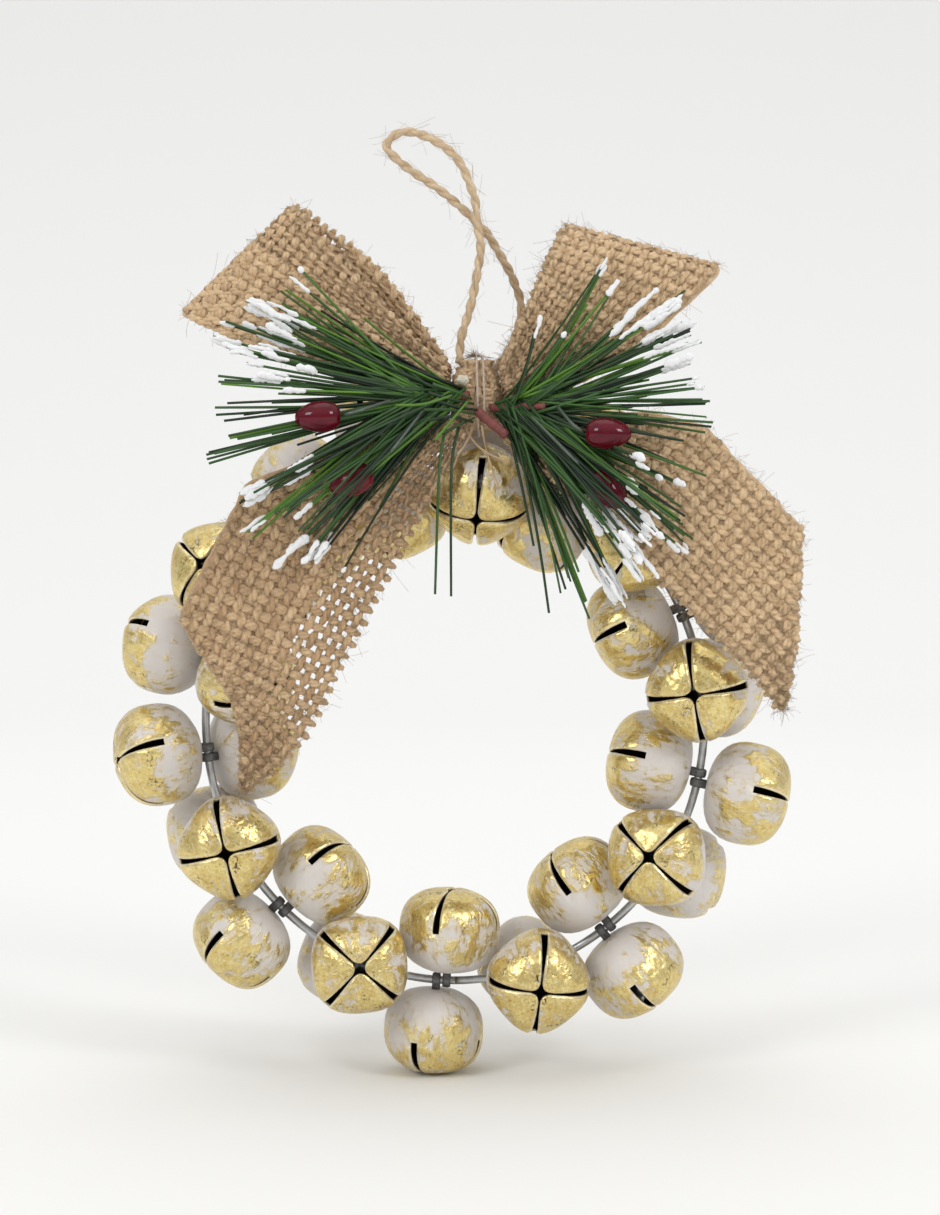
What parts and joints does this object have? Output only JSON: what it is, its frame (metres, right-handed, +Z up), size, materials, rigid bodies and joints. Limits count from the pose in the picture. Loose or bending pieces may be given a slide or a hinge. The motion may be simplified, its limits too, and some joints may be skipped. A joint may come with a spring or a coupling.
{
  "type": "jingle bell wreath ornament",
  "caption": "Ring of jingle bells on a wire, with a burlap bow, pine sprigs, berries and a twine loop to hang it by. The bells swing on the wire and their balls roll.",
  "frame": {"origin": "the inside of the top of the twine loop, where a hook holds the ornament", "axes": "+Z up, the bow on the -Y side, +X to the right as seen from the bow's side"},
  "size_m": [0.1649, 0.0826, 0.2294],
  "materials": {
    "galvanised_steel": "dull zinc grey wire and balls",
    "white_and_gold_paint": "satin white paint with worn gold leaf",
    "burlap": "open jute weave",
    "pale_thread": "thin cotton thread",
    "jute_twine": "twisted fuzzy twine",
    "hot_glue": "cloudy glue",
    "pine_needles": "green strips, some with white tips",
    "berry_lacquer": "glossy crimson lacquer"
  },
  "bodies": {
    "wreath": {"berry_left_lower": "berry_lacquer", "berry_left_upper": "berry_lacquer", "berry_right_lower": "berry_lacquer", "berry_right_upper": "berry_lacquer", "bow_knot": "burlap", "bow_loop_left": "burlap", "bow_loop_right": "burlap", "glue_dab": "hot_glue", "hanging_loop": "jute_twine", "pine_sprig_left": "pine_needles", "pine_sprig_right": "pine_needles", "ribbon_tail_left": "burlap", "ribbon_tail_right": "burlap", "tie_thread": "pale_thread", "wire_ring": "galvanised_steel"},
    "bell_00_inner": {"bell_00_inner": "white_and_gold_paint"},
    "bell_00_outer": {"bell_00_outer": "white_and_gold_paint"},
    "bell_01_front": {"bell_01_front": "white_and_gold_paint"},
    "bell_01_rear": {"bell_01_rear": "white_and_gold_paint"},
    "bell_02_inner": {"bell_02_inner": "white_and_gold_paint"},
    "bell_02_outer": {"bell_02_outer": "white_and_gold_paint"},
    "bell_03_front": {"bell_03_front": "white_and_gold_paint"},
    "bell_03_rear": {"bell_03_rear": "white_and_gold_paint"},
    "bell_04_inner": {"bell_04_inner": "white_and_gold_paint"},
    "bell_04_outer": {"bell_04_outer": "white_and_gold_paint"},
    "bell_05_front": {"bell_05_front": "white_and_gold_paint"},
    "bell_05_rear": {"bell_05_rear": "white_and_gold_paint"},
    "bell_06_inner": {"bell_06_inner": "white_and_gold_paint"},
    "bell_06_outer": {"bell_06_outer": "white_and_gold_paint"},
    "bell_07_front": {"bell_07_front": "white_and_gold_paint"},
    "bell_07_rear": {"bell_07_rear": "white_and_gold_paint"},
    "bell_08_inner": {"bell_08_inner": "white_and_gold_paint"},
    "bell_08_outer": {"bell_08_outer": "white_and_gold_paint"},
    "bell_09_front": {"bell_09_front": "white_and_gold_paint"},
    "bell_09_rear": {"bell_09_rear": "white_and_gold_paint"},
    "bell_10_inner": {"bell_10_inner": "white_and_gold_paint"},
    "bell_10_outer": {"bell_10_outer": "white_and_gold_paint"},
    "bell_11_front": {"bell_11_front": "white_and_gold_paint"},
    "bell_11_rear": {"bell_11_rear": "white_and_gold_paint"},
    "bell_12_front": {"bell_12_front": "white_and_gold_paint"},
    "bell_12_rear": {"bell_12_rear": "white_and_gold_paint"},
    "bell_13_inner": {"bell_13_inner": "white_and_gold_paint"},
    "bell_13_outer": {"bell_13_outer": "white_and_gold_paint"},
    "bell_14_inner": {"bell_14_inner": "white_and_gold_paint"},
    "bell_14_outer": {"bell_14_outer": "white_and_gold_paint"},
    "bell_15_front": {"bell_15_front": "white_and_gold_paint"},
    "bell_15_rear": {"bell_15_rear": "white_and_gold_paint"},
    "bell_16_inner": {"bell_16_inner": "white_and_gold_paint"},
    "bell_16_outer": {"bell_16_outer": "white_and_gold_paint"},
    "bell_17_front": {"bell_17_front": "white_and_gold_paint"},
    "bell_17_rear": {"bell_17_rear": "white_and_gold_paint"},
    "ball_01": {"ball_01": "galvanised_steel"},
    "ball_03": {"ball_03": "galvanised_steel"},
    "ball_05": {"ball_05": "galvanised_steel"},
    "ball_07": {"ball_07": "galvanised_steel"},
    "ball_09": {"ball_09": "galvanised_steel"},
    "ball_11": {"ball_11": "galvanised_steel"},
    "ball_12": {"ball_12": "galvanised_steel"},
    "ball_15": {"ball_15": "galvanised_steel"},
    "ball_17": {"ball_17": "galvanised_steel"}
  },
  "joints": [
    {"name": "bell_00_inner_swing", "type": "hinge", "parent": "wreath", "child": "bell_00_inner", "pos_m": [0.0099, 0.009, -0.20483], "axis": [0.9983, 0, -0.0576], "range_deg": [-4, 4]},
    {"name": "bell_00_outer_swing", "type": "hinge", "parent": "wreath", "child": "bell_00_outer", "pos_m": [0.0074, 0.009, -0.20468], "axis": [0.9983, 0, -0.0576], "range_deg": [-4, 4]},
    {"name": "bell_01_front_swing", "type": "hinge", "parent": "wreath", "child": "bell_01_front", "pos_m": [0.03182, 0.009, -0.20139], "axis": [0.9478, 0, 0.319], "range_deg": [-4, 4]},
    {"name": "bell_01_rear_swing", "type": "hinge", "parent": "wreath", "child": "bell_01_rear", "pos_m": [0.02945, 0.009, -0.20219], "axis": [0.9478, 0, 0.319], "range_deg": [-4, 4]},
    {"name": "bell_02_inner_swing", "type": "hinge", "parent": "wreath", "child": "bell_02_inner", "pos_m": [0.04996, 0.009, -0.19097], "axis": [0.781, 0, 0.6246], "range_deg": [-4, 2]},
    {"name": "bell_02_outer_swing", "type": "hinge", "parent": "wreath", "child": "bell_02_outer", "pos_m": [0.048, 0.009, -0.19253], "axis": [0.781, 0, 0.6246], "range_deg": [-4, 4]},
    {"name": "bell_03_front_swing", "type": "hinge", "parent": "wreath", "child": "bell_03_front", "pos_m": [0.06396, 0.009, -0.17439], "axis": [0.5225, 0, 0.8527], "range_deg": [-2, 4]},
    {"name": "bell_03_rear_swing", "type": "hinge", "parent": "wreath", "child": "bell_03_rear", "pos_m": [0.06266, 0.009, -0.17653], "axis": [0.5225, 0, 0.8527], "range_deg": [-4, 4]},
    {"name": "bell_04_inner_swing", "type": "hinge", "parent": "wreath", "child": "bell_04_inner", "pos_m": [0.07183, 0.009, -0.15338], "axis": [0.2053, 0, 0.9787], "range_deg": [-4, 4]},
    {"name": "bell_04_outer_swing", "type": "hinge", "parent": "wreath", "child": "bell_04_outer", "pos_m": [0.07132, 0.009, -0.15583], "axis": [0.2053, 0, 0.9787], "range_deg": [-4, 4]},
    {"name": "bell_05_front_swing", "type": "hinge", "parent": "wreath", "child": "bell_05_front", "pos_m": [0.07238, 0.009, -0.13164], "axis": [-0.1188, 0, 0.9929], "range_deg": [-1.5, 4]},
    {"name": "bell_05_rear_swing", "type": "hinge", "parent": "wreath", "child": "bell_05_rear", "pos_m": [0.07267, 0.009, -0.13412], "axis": [-0.1188, 0, 0.9929], "range_deg": [-4, 4]},
    {"name": "bell_06_inner_swing", "type": "hinge", "parent": "wreath", "child": "bell_06_inner", "pos_m": [0.06681, 0.009, -0.11273], "axis": [-0.4051, 0, 0.9143], "range_deg": [-2.5, 2]},
    {"name": "bell_06_outer_swing", "type": "hinge", "parent": "wreath", "child": "bell_06_outer", "pos_m": [0.06782, 0.009, -0.11501], "axis": [-0.4051, 0, 0.9143], "range_deg": [-4, 4]},
    {"name": "bell_07_front_swing", "type": "hinge", "parent": "wreath", "child": "bell_07_front", "pos_m": [0.05532, 0.009, -0.09577], "axis": [-0.6724, 0, 0.7402], "range_deg": [-4, 4]},
    {"name": "bell_07_rear_swing", "type": "hinge", "parent": "wreath", "child": "bell_07_rear", "pos_m": [0.057, 0.009, -0.09762], "axis": [-0.6724, 0, 0.7402], "range_deg": [-4, 2]},
    {"name": "bell_08_inner_swing", "type": "hinge", "parent": "wreath", "child": "bell_08_inner", "pos_m": [0.03869, 0.009, -0.08328], "axis": [-0.8811, 0, 0.473], "range_deg": [-4, 2]},
    {"name": "bell_08_outer_swing", "type": "hinge", "parent": "wreath", "child": "bell_08_outer", "pos_m": [0.04089, 0.009, -0.08447], "axis": [-0.8811, 0, 0.473], "range_deg": [-4, 4]},
    {"name": "bell_09_front_swing", "type": "hinge", "parent": "wreath", "child": "bell_09_front", "pos_m": [0.01911, 0.009, -0.07727], "axis": [-0.9897, 0, 0.1434], "range_deg": [-2, 4]},
    {"name": "bell_09_rear_swing", "type": "hinge", "parent": "wreath", "child": "bell_09_rear", "pos_m": [0.02158, 0.009, -0.07763], "axis": [-0.9897, 0, 0.1434], "range_deg": [-4, 4]},
    {"name": "bell_10_inner_swing", "type": "hinge", "parent": "wreath", "child": "bell_10_inner", "pos_m": [-0.00464, 0.009, -0.07926], "axis": [-0.9643, 0, -0.2647], "range_deg": [-3.5, 4]},
    {"name": "bell_10_outer_swing", "type": "hinge", "parent": "wreath", "child": "bell_10_outer", "pos_m": [-0.00223, 0.009, -0.0786], "axis": [-0.9643, 0, -0.2647], "range_deg": [-2, 4]},
    {"name": "bell_11_front_swing", "type": "hinge", "parent": "wreath", "child": "bell_11_front", "pos_m": [-0.02424, 0.009, -0.08935], "axis": [-0.8029, 0, -0.5961], "range_deg": [-4, 4]},
    {"name": "bell_11_rear_swing", "type": "hinge", "parent": "wreath", "child": "bell_11_rear", "pos_m": [-0.02223, 0.009, -0.08786], "axis": [-0.8029, 0, -0.5961], "range_deg": [-4, 2.5]},
    {"name": "bell_12_front_swing", "type": "hinge", "parent": "wreath", "child": "bell_12_front", "pos_m": [-0.03941, 0.009, -0.10638], "axis": [-0.5367, 0, -0.8438], "range_deg": [-4, 4]},
    {"name": "bell_12_rear_swing", "type": "hinge", "parent": "wreath", "child": "bell_12_rear", "pos_m": [-0.03807, 0.009, -0.10427], "axis": [-0.5367, 0, -0.8438], "range_deg": [-4, 4]},
    {"name": "bell_13_inner_swing", "type": "hinge", "parent": "wreath", "child": "bell_13_inner", "pos_m": [-0.04762, 0.009, -0.12727], "axis": [-0.2209, 0, -0.9753], "range_deg": [-2.5, 4]},
    {"name": "bell_13_outer_swing", "type": "hinge", "parent": "wreath", "child": "bell_13_outer", "pos_m": [-0.04707, 0.009, -0.12483], "axis": [-0.2209, 0, -0.9753], "range_deg": [-4, 4]},
    {"name": "bell_14_inner_swing", "type": "hinge", "parent": "wreath", "child": "bell_14_inner", "pos_m": [-0.04845, 0.009, -0.14953], "axis": [0.1109, 0, -0.9938], "range_deg": [-2.5, 3]},
    {"name": "bell_14_outer_swing", "type": "hinge", "parent": "wreath", "child": "bell_14_outer", "pos_m": [-0.04872, 0.009, -0.14705], "axis": [0.1109, 0, -0.9938], "range_deg": [-4, 4]},
    {"name": "bell_15_front_swing", "type": "hinge", "parent": "wreath", "child": "bell_15_front", "pos_m": [-0.04235, 0.009, -0.16994], "axis": [0.4201, 0, -0.9075], "range_deg": [-4, 4]},
    {"name": "bell_15_rear_swing", "type": "hinge", "parent": "wreath", "child": "bell_15_rear", "pos_m": [-0.0434, 0.009, -0.16767], "axis": [0.4201, 0, -0.9075], "range_deg": [-4, 1.5]},
    {"name": "bell_16_inner_swing", "type": "hinge", "parent": "wreath", "child": "bell_16_inner", "pos_m": [-0.02979, 0.009, -0.18749], "axis": [0.6978, 0, -0.7163], "range_deg": [-4, 4]},
    {"name": "bell_16_outer_swing", "type": "hinge", "parent": "wreath", "child": "bell_16_outer", "pos_m": [-0.03153, 0.009, -0.1857], "axis": [0.6978, 0, -0.7163], "range_deg": [-4, 4]},
    {"name": "bell_17_front_swing", "type": "hinge", "parent": "wreath", "child": "bell_17_front", "pos_m": [-0.01168, 0.009, -0.19984], "axis": [0.906, 0, -0.4233], "range_deg": [-4, 4]},
    {"name": "bell_17_rear_swing", "type": "hinge", "parent": "wreath", "child": "bell_17_rear", "pos_m": [-0.01395, 0.009, -0.19878], "axis": [0.906, 0, -0.4233], "range_deg": [-4, 4]},
    {"name": "ball_01_roll", "type": "hinge", "parent": "bell_01_front", "child": "ball_01", "pos_m": [0.03216, -0.00345, -0.20242], "axis": [-0.9996, -0.0279, 0], "range_deg": [-25, 25]},
    {"name": "ball_03_roll", "type": "hinge", "parent": "bell_03_front", "child": "ball_03", "pos_m": [0.06067, -0.00289, -0.17238], "axis": [-0.9637, 0.267, 0], "range_deg": [-25, 25]},
    {"name": "ball_05_roll", "type": "hinge", "parent": "bell_05_front", "child": "ball_05", "pos_m": [0.07022, -0.00331, -0.1319], "axis": [-0.985, 0.1725, 0], "range_deg": [-25, 25]},
    {"name": "ball_07_roll", "type": "hinge", "parent": "bell_07_front", "child": "ball_07", "pos_m": [0.05467, -0.00347, -0.09635], "axis": [-0.9987, 0.0517, 0], "range_deg": [-25, 25]},
    {"name": "ball_09_roll", "type": "hinge", "parent": "bell_09_front", "child": "ball_09", "pos_m": [0.01801, -0.00085, -0.08489], "axis": [-0.9938, 0.1114, 0], "range_deg": [-25, 25]},
    {"name": "ball_11_roll", "type": "hinge", "parent": "bell_11_front", "child": "ball_11", "pos_m": [-0.02051, -0.00183, -0.09437], "axis": [-0.9456, -0.3254, 0], "range_deg": [-25, 25]},
    {"name": "ball_12_roll", "type": "hinge", "parent": "bell_12_front", "child": "ball_12", "pos_m": [-0.04403, -0.00224, -0.10344], "axis": [-0.9248, 0.3806, 0], "range_deg": [-25, 25]},
    {"name": "ball_15_roll", "type": "hinge", "parent": "bell_15_front", "child": "ball_15", "pos_m": [-0.04235, -0.0035, -0.16994], "axis": [-1, 0, 0], "range_deg": [-25, 25]},
    {"name": "ball_17_roll", "type": "hinge", "parent": "bell_17_front", "child": "ball_17", "pos_m": [-0.01104, -0.00341, -0.19846], "axis": [-0.9987, -0.0519, 0], "range_deg": [-25, 25]}
  ]
}
